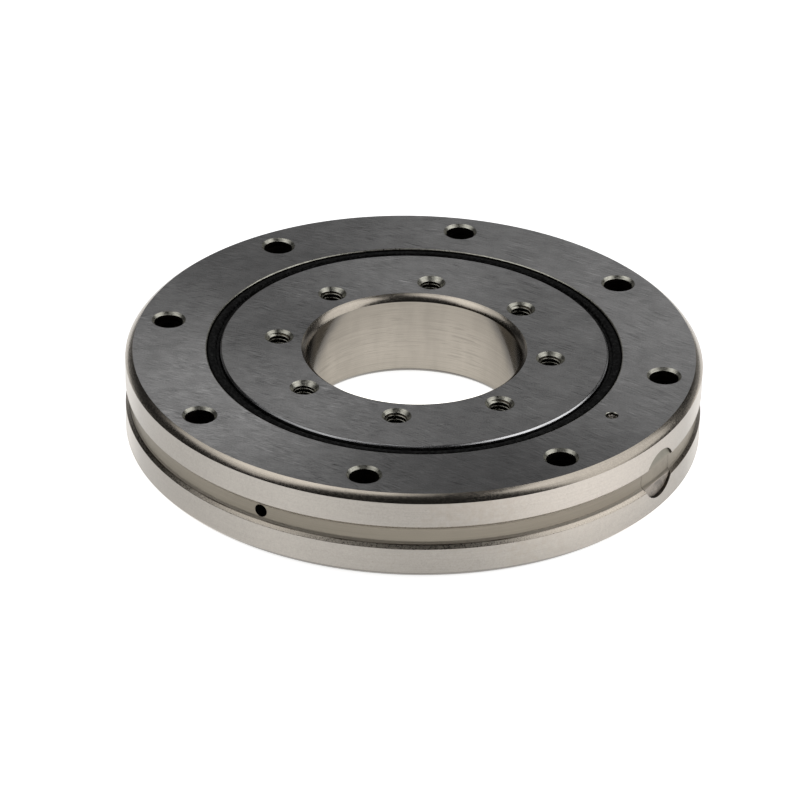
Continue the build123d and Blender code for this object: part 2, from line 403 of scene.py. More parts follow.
class Quantity:
    """A number that varies over a surface. Arithmetic on it adds Math nodes."""

    def __init__(self, finish, socket):
        self.finish = finish
        self.socket = socket

    def maths(self, operation, *values):
        """A Math node on the values."""
        return self.finish.add("ShaderNodeMath", {"operation": operation}, dict(enumerate(values)))

    def __add__(self, other):
        return self.maths("ADD", self, other)

    def __radd__(self, other):
        return self.maths("ADD", other, self)

    def __sub__(self, other):
        return self.maths("SUBTRACT", self, other)

    def __rsub__(self, other):
        return self.maths("SUBTRACT", other, self)

    def __mul__(self, other):
        return self.maths("MULTIPLY", self, other)

    def __rmul__(self, other):
        return self.maths("MULTIPLY", other, self)

    def __truediv__(self, other):
        return self.maths("DIVIDE", self, other)

    def __rtruediv__(self, other):
        return self.maths("DIVIDE", other, self)

    def __pow__(self, other):
        return self.maths("POWER", self, other)

    def __rpow__(self, other):
        return self.maths("POWER", other, self)

    def cosine(self):
        return self.maths("COSINE", self)

    def between(self, low, high, to_low=0.0, to_high=1.0):
        """The value stretched so that low and high reach the two ends, and held there."""
        inputs = {"Value": self, "From Min": low, "From Max": high, "To Min": to_low, "To Max": to_high}
        return self.finish.add("ShaderNodeMapRange", {"clamp": True}, inputs)

    def band(self, low, high, soft):
        """1 from low to high, and falling to 0 over a soft edge outside them."""
        return self.between(low - soft, low) * self.between(high + soft, high)


class Finish:
    """A material in the making: its nodes and the shader that they feed."""

    def __init__(self, name, constants=None):
        self.material = bpy.data.materials.new(name)
        self.material.use_nodes = True
        self.tree = self.material.node_tree
        self.shader = self.tree.nodes["Principled BSDF"]
        for socket, value in (constants or {}).items():
            self.shader.inputs[socket].default_value = value

    def add(self, kind, settings=None, inputs=None, output=0):
        """A node of any kind: its settings first, then the values or links of its sockets."""
        node = self.tree.nodes.new(kind)
        for name, value in (settings or {}).items():
            setattr(node, name, value)
        for key, value in (inputs or {}).items():
            if isinstance(value, Quantity):
                self.tree.links.new(value.socket, node.inputs[key])
            else:
                node.inputs[key].default_value = value
        return Quantity(self, node.outputs[output])

    def feed(self, socket, value):
        """What reaches a socket of the shader."""
        self.tree.links.new(value.socket, self.shader.inputs[socket])

    def place(self):
        """The point's own coordinates on the piece."""
        return self.add("ShaderNodeTexCoord", output="Object")

    def xyz(self):
        """The point's three coordinates on the piece."""
        node = self.add("ShaderNodeSeparateXYZ", inputs={0: self.place()}).socket.node
        return [Quantity(self, output) for output in node.outputs]

    def noise(self, vector, scale, detail, roughness):
        """Noise between 0 and 1, about 0.5 on the whole."""
        inputs = {"Vector": vector, "Scale": scale, "Detail": detail, "Roughness": roughness}
        return self.add("ShaderNodeTexNoise", inputs=inputs)

    def grain(self, scale, detail=2, roughness=0.5):
        """Noise that is alike in all directions, with so many grains to the metre."""
        return self.noise(self.place(), scale, detail, roughness)

    def lines(self, x, y, z, detail=2, roughness=0.5):
        """Noise over coordinates that are stretched beforehand, so that it runs in lines."""
        vector = self.add("ShaderNodeCombineXYZ", inputs={0: x, 1: y, 2: z})
        return self.noise(vector, 1, detail, roughness)

    def blend(self, factor, first, second):
        """A colour between two colours."""
        inputs = {0: factor, 6: first, 7: second}
        return self.add("ShaderNodeMix", {"data_type": "RGBA"}, inputs, output=2)

    def shades(self, factor, colour, dark, light):
        """A setting's colour between a darker and a lighter shade of it."""
        return self.blend(factor, rgba(colour, dark), rgba(colour, light))

    def tone(self, colour, level):
        """A colour made lighter or darker by a level about 1."""
        inputs = {0: colour, "Scale": level}
        return self.add("ShaderNodeVectorMath", {"operation": "SCALE"}, inputs)

    def surface(self, colour, roughness, height=None, distance=0.0, strength=0.5):
        """The finished material. Its relief is a height between 0 and 1, times a distance in metres."""
        self.feed("Base Color", colour)
        self.feed("Roughness", roughness)
        if height is not None:
            inputs = {"Height": height, "Distance": distance, "Strength": strength}
            self.feed("Normal", self.add("ShaderNodeBump", inputs=inputs))
        return self.material


def rgba(colour, level=1.0):
    """A setting's colour for a socket, made darker or lighter."""
    return (colour[0] * level, colour[1] * level, colour[2] * level, 1.0)


def reach(x, y):
    """A point's distance from an axis."""
    return (x * x + y * y) ** 0.5


def angle_of(x, y):
    """A point's angle about an axis."""
    return x.maths("ARCTAN2", y, x)


def fans(sheen, x, y):
    """Painted light and shade that come round with the angle, in two sets."""
    turned = angle_of(x, y)
    wide = (turned * sheen.wide_count - sheen.wide_count * sheen.wide_at).cosine() * sheen.wide
    narrow = (turned * sheen.narrow_count - sheen.narrow_count * sheen.narrow_at).cosine() * sheen.narrow
    return wide + narrow


def ground_face(colours, sheen, name):
    """Faces ground by a cup wheel: curved scratches in two families, with wide fans of painted sheen and a
    painted brightness level in the colour.
    """
    finish = Finish(name, {"Metallic": 1.0})
    x, y, z = finish.xyz()
    wobble = finish.grain(85, 3) * 2.8 * MM

    def strokes(centre_x, centre_y, pitch, stretch, seed):
        across, up = x - centre_x, y - centre_y
        along = angle_of(across, up) * math.hypot(centre_x, centre_y)
        return finish.lines((reach(across, up) + wobble) / pitch, along / stretch, seed, 2, 0.6)

    far_left, far_right = (-141 * MM, -265 * MM), (60 * MM, -300 * MM)
    short = strokes(*far_left, 0.34 * MM, 2.6 * MM, 0.0)
    long = strokes(*far_left, 0.29 * MM, 7 * MM, 7.0)
    cross = strokes(*far_right, 0.30 * MM, 5 * MM, 3.0)
    rightwards = x.between(-10 * MM, 18 * MM, 0.1, 0.75)
    grain = short * (1.0 - rightwards) + long * rightwards
    marks = (grain * 0.72 + cross * 0.28).between(0.36, 0.64)
    deep = strokes(*far_left, 0.34 * MM, 4.5 * MM, 21.0)
    deep_cross = strokes(*far_right, 0.40 * MM, 8 * MM, 31.0)
    bright = deep.between(0.62, 0.72) + deep_cross.between(0.65, 0.75)
    dark = deep.between(0.38, 0.28) + deep_cross.between(0.35, 0.25)
    clouds = finish.grain(75, 3).between(0.35, 0.65)
    specks = finish.grain(4200, 1).between(0.3, 0.7)
    worn = finish.grain(190).between(0.38, 0.62, 0.35, 1.0)
    patches = finish.grain(420).between(0.35, 0.65, -0.08, 0.08)
    strength = (marks - 0.5) * 0.74 + bright * 0.6 - dark * 0.45
    # Painted sheen: the level here and the fans below make the steel's colour lighter or darker round the
    # face.
    texture = strength * worn + clouds * 0.16 + patches + specks * 0.30 + sheen.level - 0.22
    return finish.surface(
        finish.tone(tuple(colours.face_steel), (fans(sheen, x, y) + 1.0) * texture),
        marks.between(0.0, 1.0, 0.30, 0.40), marks * 0.7 + bright * 0.3, 0.006 * MM)


def ground_wall(settings):
    """Round walls ground to size: hair lines round the piece, a faint mottle, fans of painted sheen and
    painted highlights at the left and right sides.
    """
    colours = settings.colours
    sheen = settings.wall_sheen
    finish = Finish("ground_wall", {"Metallic": 1.0})
    x, y, z = finish.xyz()
    lines = finish.lines(x * 90, y * 90, z * 7000, 3, 0.6)
    mottle = finish.grain(900, 4, 0.65)
    clouds = finish.grain(60)
    speckle = finish.grain(3600)
    level = (lines * 0.3 + mottle * 0.2 + speckle * 0.3 + clouds * 0.2).between(0.37, 0.63)
    steel = finish.shades(level, colours.wall_steel, 0.86, 1.12)
    stained = (clouds * 0.5 + mottle * 0.5).between(0.55, 0.7, 0.0, 0.22)
    # Painted highlight: the wall is lighter at its left and right sides.
    ends = (angle_of(x, y) * 2.0).cosine().between(0.72, 0.9, 0.0, 0.36)
    steel = finish.blend(stained, steel, rgba(colours.stain, 1.6))
    # Painted sheen: the fans and the level make the wall's colour lighter or darker round it.
    return finish.surface(
        finish.tone(steel, fans(sheen, x, y) + ends + sheen.level),
        (lines * 0.6 + mottle * 0.4).between(0.35, 0.65, 0.27, 0.40),
        lines * 0.75 + mottle * 0.25, 0.008 * MM)


def bore_wall(settings):
    """The bore, honed to size: finer and glossier than the outside, in faint upright bands, with painted
    shade and light: darker steel than the outer wall's, lighter lower down and at its left and right sides.
    """
    finish = Finish("bore_wall", {"Metallic": 1.0, "Specular Tint": (0.5, 0.5, 0.5, 1.0)})
    x, y, z = finish.xyz()
    lines = finish.lines(x * 60, y * 60, z * 6000, 3, 0.6)
    bands = finish.lines(x * 190, y * 190, z * 50, 3, 0.6)
    scratches = finish.lines(x * 180, y * 180, z * 3800, 2, 0.6)
    worn = finish.grain(110).between(0.42, 0.60)
    level = (lines * 0.45 + bands * 0.55).between(0.38, 0.62)
    level = level - scratches.between(0.44, 0.30) * worn * 2.0
    # Painted shade: the bore's steel is about half as bright as the outer wall's.
    steel = finish.shades(level, settings.colours.wall_steel, 0.46, 0.58)
    # Painted light: lighter lower down in the bore and at its left and right sides.
    depth = z.between(12 * MM, 5 * MM, 0.97, 1.17)
    sides = (x * x).between((15.6 * MM) ** 2, (16.8 * MM) ** 2, 0.0, 0.5)
    return finish.surface(
        finish.tone(steel, depth + sides),
        (lines * 0.5 + bands * 0.5).between(0.38, 0.62, 0.10, 0.16), lines, 0.0012 * MM)


def turned_groove(settings):
    """The grease groove: matt tan floor, a dull band along its foot, and a brighter speckled flank, with
    painted shade and light: the floor darker towards the right and lighter at the far right, the flank
    darker at its far left and right, and thin painted shade lines on the left half.
    """
    colours = settings.colours
    finish = Finish("turned_groove")
    x, y, z = finish.xyz()
    radius = reach(x, y)
    foot = OUTSIDE - settings.ring.groove_depth + SLACK
    lines = finish.lines(x * 50, y * 50, z * 5200)
    grain = finish.grain(3200, 3, 0.7)
    clouds = finish.grain(110, 3)
    level = (lines * 0.35 + grain * 0.4 + clouds * 0.25).between(0.36, 0.64)
    floor = finish.shades(level, colours.groove_steel, 0.9, 1.12)
    # Painted shade and light: the floor darker towards the right, then lighter again at the far right.
    floor = finish.tone(floor, x.between(10 * MM, 40 * MM, 1.0, 0.86))
    floor = finish.tone(floor, x.between(40 * MM, 44.5 * MM, 1.0, 1.4))
    dull = finish.shades(level, colours.groove_dull, 0.8, 1.2)
    # Painted shade: the flank darkens towards the stain colour at its far left and right.
    ends = x.between(36 * MM, 43 * MM, 0.0, 0.8) + x.between(-34 * MM, -40 * MM, 0.0, 0.6)
    speckled = (grain * 0.7 + lines * 0.3).between(0.38, 0.62, 1.0, 1.5)
    side = finish.tone(tuple(colours.corner_steel), speckled)
    side = finish.blend(ends, side, rgba(colours.stain, 0.6))
    # Painted shade: thin dark lines in the stain colour along the groove's fillet and where its flanks
    # begin, on the left half only.
    inner_line = radius.band(foot + 0.10 * MM, foot + 0.10 * MM, 0.06 * MM)
    outer_line = radius.band(foot + 0.28 * MM, foot + 0.37 * MM, 0.06 * MM)
    floor = finish.blend(radius.between(foot, foot + 0.05 * MM), floor, dull)
    flank = radius.between(foot + 0.28 * MM, foot + 0.34 * MM)
    body = finish.blend(flank, floor, side)
    painted_shade_lines = (inner_line * 0.3 + outer_line * 0.95) * clouds.between(0.40, 0.55, 0.6, 1.0)
    painted_shade_lines = painted_shade_lines * x.between(14 * MM, 24 * MM, 1.0, 0.0)
    band = radius.between(foot, foot + 0.05 * MM) - flank
    finish.feed("Metallic", 1.0 - band)
    return finish.surface(
        finish.blend(painted_shade_lines, body, rgba(colours.stain, 0.5)),
        grain.between(0.35, 0.65, 0.38, 0.52) - flank * 0.14, grain * 0.4 + lines * 0.6, 0.002 * MM)


def crowned_corner_steel(settings):
    """Crowned corners: turned and tumbled, with a fine speckle, and painted shade along the bore corner's
    inner edge on the right and on the lower corners towards the front and back.
    """
    colours = settings.colours
    finish = Finish("crowned_corner", {"Metallic": 1.0})
    x, y, z = finish.xyz()
    radius = reach(x, y)
    lines = finish.lines(radius * 6000, x * 60 + y * 35, z * 6000)
    speckle = finish.grain(2400, 3, 0.7)
    clouds = finish.grain(90)
    level = (lines * 0.25 + speckle * 0.5 + clouds * 0.25).between(0.38, 0.62)
    steel = finish.shades(level, colours.corner_steel, 0.84, 1.13)
    # Painted shade: the bore corner's innermost edge darkens towards the stain colour on the right.
    painted_inmost_shade = radius.between(BORE + 0.26 * MM, BORE + 0.14 * MM) * x.between(2 * MM, 7 * MM, 0.0, 0.8)
    steel = finish.blend(painted_inmost_shade, steel, rgba(colours.stain, 0.8))
    # Painted shade: the lower corners are darker towards the front and back.
    corner = settings.ring.outer_corner
    low = z.between(corner + 0.05 * MM, corner - 0.15 * MM)
    foot = low * (x * x).between((24 * MM) ** 2, (34 * MM) ** 2, 0.55, 0.0)
    return finish.surface(
        finish.tone(steel, 1.0 - foot),
        speckle.between(0.35, 0.65, 0.20, 0.27), speckle * 0.6 + lines * 0.4, 0.0007 * MM)


def drilled_hole(settings):
    """Holes, counterbores and seats: drilled or turned, with lines round the wall and thin dark oil."""
    colours = settings.colours
    finish = Finish("drilled_hole", {"Metallic": 1.0})
    x, y, z = finish.xyz()
    lines = finish.lines(x * 260, y * 260, z * 5000)
    oil = finish.grain(700, 3)
    steel = finish.shades(lines.between(0.38, 0.62), colours.drilled_steel, 0.75, 1.15)
    return finish.surface(
        finish.blend(oil.between(0.48, 0.62, 0.0, 0.55), steel, rgba(colours.stain)),
        (oil * 0.5 + lines * 0.5).between(0.38, 0.62, 0.26, 0.42), lines, 0.015 * MM, 0.6)


def hole_chamfer(settings):
    """Chamfers of the holes: cut steel, satin, with chatter lines."""
    finish = Finish("hole_chamfer", {"Metallic": 1.0})
    x, y, z = finish.xyz()
    lines = finish.lines(x * 900, y * 900, z * 9000)
    speckle = finish.grain(2500)
    level = (lines * 0.5 + speckle * 0.5).between(0.38, 0.62)
    return finish.surface(
        finish.shades(level, settings.colours.thread_steel, 0.72, 1.35),
        speckle.between(0.35, 0.65, 0.27, 0.37), lines, 0.002 * MM)


def seal_edge_painted_highlight(settings):
    """Edges at the seal gap: rounded off, with a painted highlight: lighter steel than the ring's, toned
    darker towards the left.
    """
    finish = Finish("seal_edge_painted_highlight", {"Metallic": 1.0})
    x, y, z = finish.xyz()
    lines = finish.lines(x * 300, y * 300, z * 9000)
    level = lines.between(0.38, 0.62)
    # Painted highlight: the rollers' lighter steel, made darker towards the left below.
    steel = finish.shades(level, settings.colours.roller_steel, 0.75, 1.0)
    return finish.surface(
        finish.tone(steel, x.between(-20 * MM, 10 * MM, 0.5, 1.0)),
        lines.between(0.35, 0.65, 0.22, 0.30))


def cut_thread(settings):
    """Threads: light steel, with painted shade in the stain colour over everything beyond the crests, so
    that only the crests stay bright.
    """
    colours = settings.colours
    finish = Finish("cut_thread", {"Metallic": 1.0})
    x, y, z = finish.xyz()
    half_step = math.pi / INNER_HOLES["count"]
    turned = angle_of(x, y) - INNER_HOLE_ANGLE
    turned = turned.maths("WRAP", turned, half_step, -half_step)
    radius = reach(x, y)
    outwards = radius * turned.cosine() - INNER_CIRCLE
    sideways = radius * (turned - math.pi / 2).cosine()
    # Painted shade: flanks and roots, beyond the crests, darken towards the stain colour.
    painted_root_shade = reach(outwards, sideways).between(CORE + 0.02 * MM, CORE + 0.08 * MM, 0.0, 0.95)
    oil = finish.grain(900)
    level = oil.between(0.35, 0.65)
    steel = finish.shades(level, colours.thread_steel, 1.1, 1.5)
    return finish.surface(
        finish.blend(painted_root_shade, steel, rgba(colours.stain, 0.25)), oil.between(0.35, 0.65, 0.26, 0.36))


def seal_rubber(settings):
    """Black rubber: faintly satin, with moulding lines round it and a little dust."""
    colours = settings.colours
    finish = Finish("moulded_rubber", {"Specular IOR Level": 0.035})
    x, y, z = finish.xyz()
    radius = reach(x, y)
    lines = finish.lines(radius * 4000, x * 40 + y * 23, z * 4000)
    grain = finish.grain(2200)
    dust = finish.grain(1500, 3, 0.7).between(0.60, 0.74)
    black = finish.shades(grain.between(0.46, 0.62), colours.rubber, 0.3, 9.0)
    black = finish.blend(dust * 0.5, black, (0.06, 0.06, 0.057, 1.0))
    rim = radius.between(SEAL_HEEL - 0.45 * MM, SEAL_HEEL - 0.2 * MM, 0.0, 0.85)
    return finish.surface(
        finish.blend(rim, black, rgba(colours.rubber, 0.2)),
        (lines * 0.5 + grain * 0.5).between(0.35, 0.65, 0.3, 0.46),
        grain * 0.6 + lines * 0.4, 0.004 * MM)


def plug_steel(settings):
    """The plug's end: matt tan steel above the groove, left rough and browner below it, with a painted
    highlight band on the groove's lower flank.
    """
    colours = settings.colours
    finish = Finish("plug_end")
    x, y, z = finish.xyz()
    side = y * PLUG_WAY.x - x * PLUG_WAY.y
    rise = z - MID
    grain = finish.grain(2600, 3, 0.7)
    clouds = finish.grain(500, 3)
    lower = z.between(MID - 1.6 * MM, MID - 1.4 * MM, 1.0, 0.0)
    level = (grain * 0.5 + clouds * 0.5).between(0.38, 0.62)
    upper = finish.shades(level, colours.plug_steel, 0.90, 1.10)
    floor = finish.shades(level, colours.groove_steel, 0.82, 1.0)
    plain = finish.blend(z.between(MID + 1.6 * MM, MID + 2.2 * MM), floor, upper)
    rough = finish.shades(level, colours.plug_rough, 0.5, 1.45)
    # Painted highlight: a lighter band on the groove's lower flank.
    edge = z.band(MID - 1.6 * MM, MID - 1.5 * MM, 0.15 * MM)
    body = finish.blend(edge * 0.6, finish.blend(lower, plain, rough), rgba(colours.plug_rough, 1.4))
    seam = reach(side, rise).between(PLUG_RADIUS - 0.13 * MM, PLUG_RADIUS - 0.04 * MM, 0.0, 0.8)
    finish.feed("Metallic", 1.0 - lower * 0.85)
    return finish.surface(
        finish.blend(seam, body, rgba(colours.stain, 0.3)),
        grain.between(0.35, 0.65, 0.36, 0.52), grain * 0.5 + clouds * 0.5, 0.02 * MM)


def pin_steel(settings):
    """The pin: hardened steel, its end upset and dark."""
    colours = settings.colours
    finish = Finish("pin_end", {"Metallic": 1.0})
    grain = finish.grain(2200, 3, 0.7)
    level = grain.between(0.48, 0.62)
    return finish.surface(
        finish.blend(level, rgba(colours.stain, 0.4), rgba(colours.wall_steel, 1.1)),
        grain.between(0.35, 0.65, 0.25, 0.5), grain, 0.05 * MM, 0.7)


def raceway_steel(settings):
    """Raceways and lip lands: finely lapped."""
    finish = Finish("raceway", {"Metallic": 1.0})
    x, y, z = finish.xyz()
    lines = finish.lines(x * 60, y * 60, z * 12000)
    return finish.surface(
        finish.shades(lines, settings.colours.roller_steel, 0.8, 1.05),
        lines.between(0.35, 0.65, 0.12, 0.2), lines, 0.002 * MM, 0.4)


def roller_finish(settings):
    """Lapped rollers with a thin smear of grease."""
    finish = Finish("roller_lapped", {"Metallic": 1.0})
    fine = finish.grain(5000)
    smear = finish.grain(600, 3)
    return finish.surface(
        finish.shades(fine, settings.colours.roller_steel, 0.85, 1.05),
        smear.between(0.4, 0.65, 0.1, 0.3), fine, 0.001 * MM, 0.4)


def spacer_plastic(settings):
    """Moulded natural plastic, a little greasy."""
    finish = Finish("moulded_plastic", {"Specular IOR Level": 0.45})
    grain = finish.grain(3000, 3)
    smear = finish.grain(500)
    return finish.surface(
        finish.shades(grain, settings.colours.plastic, 0.88, 1.08),
        smear.between(0.4, 0.65, 0.3, 0.55), grain, 0.01 * MM)


def lit_table(stage):
    """A white table top, lit from below and very slightly uneven."""
    constants = {"Roughness": 0.9, "Specular IOR Level": 0.1, "Emission Strength": stage.floor_light}
    finish = Finish("lit_table", constants)
    grain = finish.grain(30)
    finish.feed("Base Color", finish.blend(grain, rgba(stage.floor_colour, 0.99), rgba(stage.floor_colour)))
    x, y, z = finish.xyz()
    front_right = (x * 0.8 - y * 0.6).between(46 * MM, 62 * MM)
    light = finish.blend(front_right, (0.60, 0.60, 0.60, 1.0), (0.91, 0.885, 0.875, 1.0))
    radius = reach(x, y)
    light = finish.blend(radius.between(BORE, BORE - 2 * MM), light, (1.16, 1.12, 1.04, 1.0))
    covered = radius.band(BORE + 2 * MM, OUTSIDE - 2 * MM, MM)
    finish.feed("Emission Color", finish.tone(light, 1.0 - covered))
    return finish.material


# Pieces


def outer_outline(ring):
    """Half of the outer ring's section, from the groove's floor over the top to the raceway."""
    half_floor = ring.groove_floor / 2
    seat = SEAL_HEEL + ring.seat_fit
    ease = ring.edge_break
    bottom = PITCH + ring.flank_reach
    arc = crown_arc(
        (OUTSIDE, WIDTH - ring.outer_corner), (OUTSIDE - ring.outer_corner, WIDTH), ring.crown)
    return both_halves([
        (OUTSIDE - ring.groove_depth, MID + half_floor, ring.groove_fillet),
        (OUTSIDE, MID + half_floor + ring.groove_depth, ease),
        *arc,
        (seat + ring.outer_seal_edge, WIDTH, ease),
        (seat, WIDTH - ring.outer_seal_edge, ease),
        (seat, WIDTH - ring.seat_depth, 0),
        (OUTER_LAND, WIDTH - ring.seat_depth, 0),
        (OUTER_LAND, MID + bottom - OUTER_LAND, 0),
        (bottom - ring.relief_half, MID + ring.relief_half, 0),
        (bottom, MID + ring.relief_half, 0),
    ])


def inner_outline(ring):
    """Half of the inner ring's section, from the raceway over the top to the bore."""
    ease = ring.edge_break
    lip = SEAL_TIP - ring.lip_clearance
    bottom = PITCH - ring.flank_reach
    arc = crown_arc((BORE + ring.bore_corner, WIDTH), (BORE, WIDTH - ring.bore_corner), ring.crown)
    return both_halves([
        (bottom, MID + ring.relief_half, 0),
        (bottom + ring.relief_half, MID + ring.relief_half, 0),
        (INNER_LAND, MID + INNER_LAND - bottom, 0),
        (INNER_LAND, WIDTH - ring.lip_depth, 0),
        (lip, WIDTH - ring.lip_depth, 0),
        (lip, WIDTH - ring.inner_seal_edge, ease),
        (lip - ring.inner_seal_edge, WIDTH, ease),
        *arc,
    ])


def through_hole_tool(ring):
    """Drills a bolt hole, chamfered above and counterbored below."""
    hole = OUTER_HOLES["hole_r_mm"] * MM
    lead = 0.12 * MM
    return turned_tool([
        (0, -PAST),
        (ring.counterbore + lead + PAST, -PAST),
        (ring.counterbore, lead),
        (ring.counterbore, ring.counterbore_depth),
        (hole, ring.counterbore_depth),
        (hole, WIDTH - ring.hole_chamfer),
        (hole + ring.hole_chamfer + PAST, WIDTH + PAST),
        (0, WIDTH + PAST),
    ], ring.drill_steps)


def tapped_hole_tool(ring):
    """Drills a tapped hole at its core, countersunk above and below."""
    mouth = CORE + ring.countersink + PAST
    return turned_tool([
        (0, -PAST),
        (mouth, -PAST),
        (CORE, ring.countersink),
        (CORE, WIDTH - ring.countersink),
        (mouth, WIDTH + PAST),
        (0, WIDTH + PAST),
    ], ring.drill_steps)


def thread_tool(thread):
    """Cuts the thread: a trapezoid spun along the hole, past both faces."""
    inside = CORE - 0.05 * MM
    slope = math.tan(thread.flank)
    root_half = thread.pitch / 16
    mouth_half = root_half + (thread.major - inside) * slope
    turns = math.ceil(WIDTH / thread.pitch) + 2
    start = -thread.start
    bm = bmesh.new()
    section = [
        (inside, start - mouth_half),
        (thread.major, start - root_half),
        (thread.major, start + root_half),
        (inside, start + mouth_half),
    ]
    first = bm.faces.new([bm.verts.new((r, 0, z)) for r, z in section])
    geometry = first.verts[:] + first.edges[:]
    bmesh.ops.delete(bm, geom=[first], context="FACES_ONLY")
    bmesh.ops.spin(
        bm, geom=geometry, cent=(0, 0, 0), axis=(0, 0, 1), dvec=(0, 0, thread.pitch / thread.steps),
        angle=2 * math.pi * turns, steps=turns * thread.steps, use_merge=False, use_duplicate=False)
    bmesh.ops.holes_fill(bm, edges=[e for e in bm.edges if e.is_boundary], sides=0)
    bmesh.ops.recalc_face_normals(bm, faces=bm.faces[:])
    return bm


def radial_rod(angle, radius, end, steps, lead=0.0):
    """A rod from the axis outwards at mid height, its outer end chamfered or flared."""
    points = [(0, 0), (radius, 0), (radius, end - abs(lead)), (radius - lead, end), (0, end)]
    return moved(turned_tool(points, steps), radial(angle))


def pin_foot(ring):
    """The pin's radius at its lower end."""
    return PIN_RADIUS - (PIN_HIGH.z - PIN_LOW.z) * ring.pin_taper / 2


def pin_hole_tool(ring):
    """Reams the pin's hole from the upper face down, a little deeper than the pin."""
    mouth = PIN_RADIUS + PIN_ROOM
    lead = ring.pin_hole_chamfer
    end = PIN_LOW.z - 0.3 * MM
    tool = turned_tool([
        (0, end),
        (pin_foot(ring) + PIN_ROOM, end),
        (mouth, WIDTH - lead),
        (mouth + lead + PAST, WIDTH + PAST),
        (0, WIDTH + PAST),
    ], steps=48)
    return moved(tool, Matrix.Translation((PIN_CENTRE.x, PIN_CENTRE.y, 0)))


def ring_place(centre, normal):
    """A face's distance from the axis, its depth under the nearer side, and how far it looks outwards."""
    radius = math.hypot(centre.x, centre.y)
    depth = min(centre.z, WIDTH - centre.z)
    return radius, depth, (centre.x * normal.x + centre.y * normal.y) / radius


def outer_region(ring):
    """Which finish a face of the outer ring has."""
    mouth = MID - ring.groove_floor / 2 - ring.groove_depth

    def region(centre, normal):
        radius, depth, outwards = ring_place(centre, normal)
        if abs(normal.z) > 0.99 and depth < SLACK:
            return "face"
        if radius > OUTSIDE - SLACK and depth > ring.outer_corner - SLACK:
            return "wall"
        if radius > OUTSIDE - ring.outer_corner - SLACK and depth < ring.outer_corner and outwards > 0.3:
            return "corner"
        if radius > OUTSIDE - ring.groove_depth - SLACK and depth > mouth - SLACK and outwards > 0.3:
            return "groove"
        if radius < OUTER_CIRCLE and outwards < -0.5 and depth > ring.seat_depth + SLACK:
            return "raceway"
        if depth < ring.hole_chamfer + SLACK and abs(normal.z) > 0.3:
            return "chamfer"
        return "hole"

    return region


def inner_region(ring):
    """Which finish a face of the inner ring has."""

    def region(centre, normal):
        radius, depth, outwards = ring_place(centre, normal)
        if abs(normal.z) > 0.99 and depth < SLACK:
            return "face"
        if radius < BORE + SLACK and depth > ring.bore_corner - SLACK:
            return "bore"
        past_corner = ring.bore_corner + SLACK
        if radius < BORE + past_corner and outwards < -0.3 and depth < past_corner:
            return "corner"
        if radius > SEAL_TIP - ring.lip_clearance - ring.inner_seal_edge - SLACK:
            return "seal_edge_painted_highlight" if depth < ring.inner_seal_edge + SLACK else "raceway"
        if depth > ring.lip_depth and outwards > 0.5 and radius > PITCH - ring.flank_reach - SLACK:
            return "raceway"
        return "chamfer" if depth < ring.countersink + SLACK and 0.6 < abs(normal.z) < 0.8 else "thread"

    return region


def ring_materials(settings, face):
    """A ring's own ground face, and the finishes that the rings share."""
    shared = {
        "wall": ground_wall, "bore": bore_wall, "corner": crowned_corner_steel, "groove": turned_groove,
        "raceway": raceway_steel, "seal_edge_painted_highlight": seal_edge_painted_highlight, "chamfer": hole_chamfer,
        "thread": cut_thread, "hole": drilled_hole,
    }
    return {"face": face, **{name: existing(make, settings) for name, make in shared.items()}}


made = {}  # finishes that are already made, under the names of their functions


def existing(make, settings):
    """A finish, made once and shared."""
    if make.__name__ not in made:
        made[make.__name__] = make(settings)
    return made[make.__name__]


class BEARING_OT_outer_ring(bpy.types.Operator):
    """Models the outer ring, drills it and gives it its finishes"""

    bl_idname = "bearing.outer_ring"
    bl_label = "Outer ring"

    def execute(self, context):
        settings = context.scene.bearing
        ring = settings.ring
        piece = new_object("outer_ring_body", turn(outline(outer_outline(ring)), ring.steps))
        tools = [
            moved(through_hole_tool(ring), place)
            for place in on_circle(OUTER_HOLES["count"], OUTER_CIRCLE, OUTER_HOLE_ANGLE)
        ]
        tools += [
            radial_rod(ring.grease_angle + turned_by, ring.grease_hole, OUTSIDE, steps=40)
            for turned_by in (0, math.pi)
        ]
        tools.append(radial_rod(PLUG_ANGLE, ring.plug_hole, OUTSIDE + MM, steps=128))
        for tool in (joined(tools), pin_hole_tool(ring)):
            carve(piece, tool)
        smooth(piece)
        face = ground_face(settings.colours, settings.outer_sheen, "outer_face")
        finish_by_region(piece, ring_materials(settings, face), outer_region(ring))
        stands_for(piece, "outer_ring", "outer_ring")
        return {"FINISHED"}


class BEARING_OT_inner_ring(bpy.types.Operator):
    """Models the inner ring, drills and taps it and gives it its finishes"""

    bl_idname = "bearing.inner_ring"
    bl_label = "Inner ring"

    def execute(self, context):
        settings = context.scene.bearing
        ring, thread = settings.ring, settings.thread
        piece = new_object("inner_ring_body", turn(outline(inner_outline(ring)), ring.steps))
        places = list(on_circle(INNER_HOLES["count"], INNER_CIRCLE, INNER_HOLE_ANGLE))
        carve(piece, joined([moved(tapped_hole_tool(ring), place) for place in places]))
        threads = [place @ Matrix.Rotation(k * thread.advance, 4, "Z") for k, place in enumerate(places)]
        carve(piece, joined([moved(thread_tool(thread), place) for place in threads]))
        smooth(piece, math.radians(12))
        face = ground_face(settings.colours, settings.inner_sheen, "inner_face")
        finish_by_region(piece, ring_materials(settings, face), inner_region(ring))
        stands_for(piece, "inner_ring", "inner_ring")
        return {"FINISHED"}


